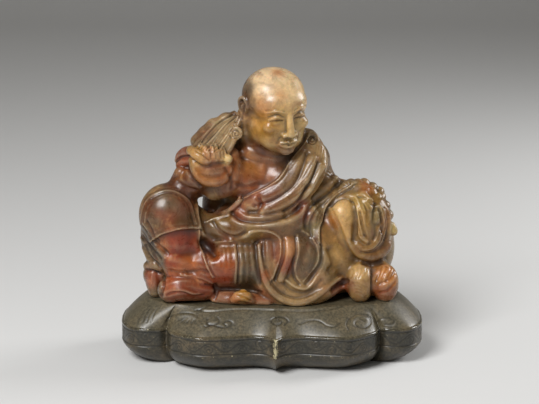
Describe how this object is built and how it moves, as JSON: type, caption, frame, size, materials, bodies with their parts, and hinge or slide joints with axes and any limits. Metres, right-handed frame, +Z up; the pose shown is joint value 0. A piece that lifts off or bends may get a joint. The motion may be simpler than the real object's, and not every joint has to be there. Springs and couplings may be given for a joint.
{
  "type": "arhat statue",
  "caption": "Small carved stone statue of a seated monk in a robe leaning on a lion, resting in place on a lobed carved stone stand.",
  "frame": {"origin": "middle of the stand's flat underside, on the surface that the statue stands on", "axes": "+Z up, +X to the right of a viewer who faces the statue, along the stand's length, +Y away from that viewer"},
  "size_m": [0.121, 0.0676, 0.116],
  "materials": {
    "dark_serpentine": "rubbed, dark grey-green, with engraved lines and pale chips on its edges",
    "polished_soapstone": "waxed and polished, cream to brown with red-orange veins"
  },
  "bodies": {
    "root": {"lobed_stand": "dark_serpentine", "arhat_figure": "polished_soapstone"}
  },
  "joints": []
}
